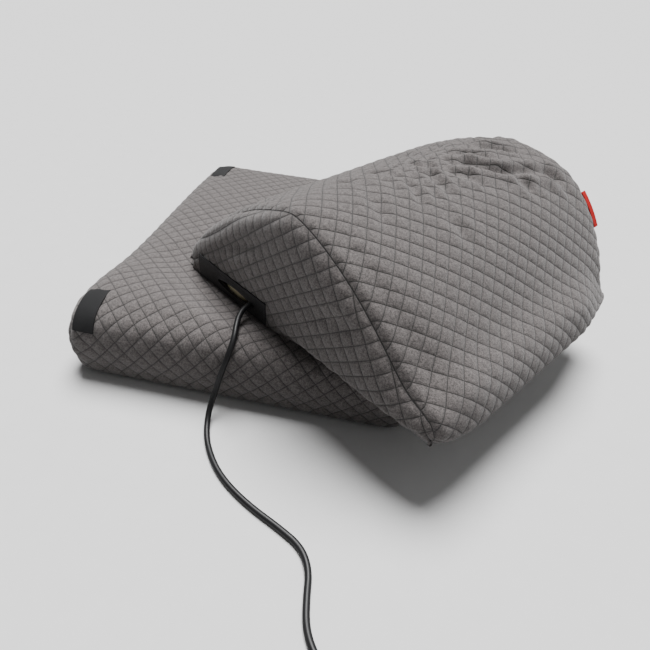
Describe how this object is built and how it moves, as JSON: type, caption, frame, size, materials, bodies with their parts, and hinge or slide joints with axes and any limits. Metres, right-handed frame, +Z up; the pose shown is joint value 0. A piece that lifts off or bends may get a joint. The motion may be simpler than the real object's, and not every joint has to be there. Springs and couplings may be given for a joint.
{
  "type": "infrared heat cushion set",
  "caption": "Contoured quilted base pad with an arched quilted infrared heating cushion lying across it, with cord, in-line controller and mains plug.",
  "frame": {"origin": "middle of the base pad's underside, on the surface that the set rests on", "axes": "+Z up, +Y towards the base pad's rear edge, +X to the right across the pad"},
  "size_m": [0.6429, 0.8741, 0.2316],
  "materials": {
    "quilt": "grey knitted quilt, matt",
    "base_cloth": "dark grey plain weave",
    "foam": "open-cell foam, cream",
    "wadding": "white polyester wadding",
    "hook_tape": "black hook tape",
    "facing": "black grained facing, stitched",
    "label_red": "red woven tab, blank",
    "film": "carbon print on film",
    "copper": "bare copper strip",
    "foil": "bright foil",
    "felt": "needle felt",
    "zip_tape": "black zip tape",
    "zip_metal": "black enamel",
    "cord_black": "smooth black sheath",
    "moulded_black": "fine spark texture",
    "box_plastic": "white moulded",
    "terminal": "natural polyamide",
    "lead_red": "silicone lead",
    "core_blue": "insulated core",
    "steel": "zinc plated",
    "board_green": "circuit board",
    "ceramic_part": "glazed case",
    "knob_grey": "satin",
    "lens": "amber lens",
    "pin_brass": "nickel plated"
  },
  "bodies": {
    "base_pad": {"pad_cover_quilted": "quilt", "pad_cover_base": "base_cloth", "pad_wadding": "wadding", "pad_foam_core": "foam", "pad_hook_patches": "hook_tape", "pad_zip_tape": "zip_tape", "heater_lead": "cord_black", "controller_base": "moulded_black", "controller_cover": "moulded_black", "controller_screws": "steel", "control_board": "board_green", "selector_switch": "ceramic_part", "indicator_lens": "lens", "controller_inlet_relief": "cord_black", "controller_outlet_relief": "cord_black", "mains_cord_feed": "cord_black", "mains_cord_coil": "cord_black", "mains_cord_tail": "cord_black", "cord_tie": "hook_tape", "plug_body": "moulded_black", "plug_pins": "pin_brass", "plug_strain_relief": "cord_black"},
    "arch_cushion": {"arch_cover_quilted": "quilt", "arch_cover_base": "base_cloth", "arch_end_front": "quilt", "arch_end_rear": "quilt", "cable_slot_facing": "facing", "side_tab": "label_red", "arch_wadding": "wadding", "heating_film": "film", "felt_insulation": "felt", "reflector_foil": "foil", "bus_bars": "copper", "arch_foam_core": "foam", "junction_box_base": "box_plastic", "junction_box_lid": "box_plastic", "junction_box_screws": "steel", "cord_entry": "cord_black", "cord_sleeve": "cord_black", "terminal_block": "terminal", "cord_cores": "core_blue", "film_leads": "lead_red", "sensor_lead": "lead_red", "overheat_cutout": "ceramic_part", "thermal_fuse": "ceramic_part", "arch_zip_tape": "zip_tape"},
    "pad_zip_slider": {"pad_zip_slider": "zip_metal"},
    "pad_zip_pull": {"pad_zip_pull": "zip_metal"},
    "arch_zip_slider": {"arch_zip_slider": "zip_metal"},
    "arch_zip_pull": {"arch_zip_pull": "zip_metal"},
    "slide_knob": {"slide_knob": "knob_grey"}
  },
  "joints": [
    {"name": "arch_lift", "type": "slide", "parent": "base_pad", "child": "arch_cushion", "axis": [0, 0, 1], "range_m": [0, 0.15]},
    {"name": "pad_zip_run", "type": "slide", "parent": "base_pad", "child": "pad_zip_slider", "axis": [-1, 0, 0], "range_m": [0, 0.273]},
    {"name": "pad_zip_flip", "type": "hinge", "parent": "pad_zip_slider", "child": "pad_zip_pull", "pos_m": [0.1365, 0.25795, 0.03], "axis": [0, 0, -1], "range_deg": [0, 175]},
    {"name": "arch_zip_run", "type": "slide", "parent": "arch_cushion", "child": "arch_zip_slider", "axis": [-0.8131, 0.5821, 0], "range_m": [0, 0.273]},
    {"name": "arch_zip_flip", "type": "hinge", "parent": "arch_zip_slider", "child": "arch_zip_pull", "pos_m": [0.39122, 0.02649, 0.0993], "axis": [0, 0, -1], "range_deg": [0, 175]},
    {"name": "heat_select", "type": "slide", "parent": "base_pad", "child": "slide_knob", "axis": [1, 0, 0], "range_m": [-0.008, 0.008]}
  ]
}
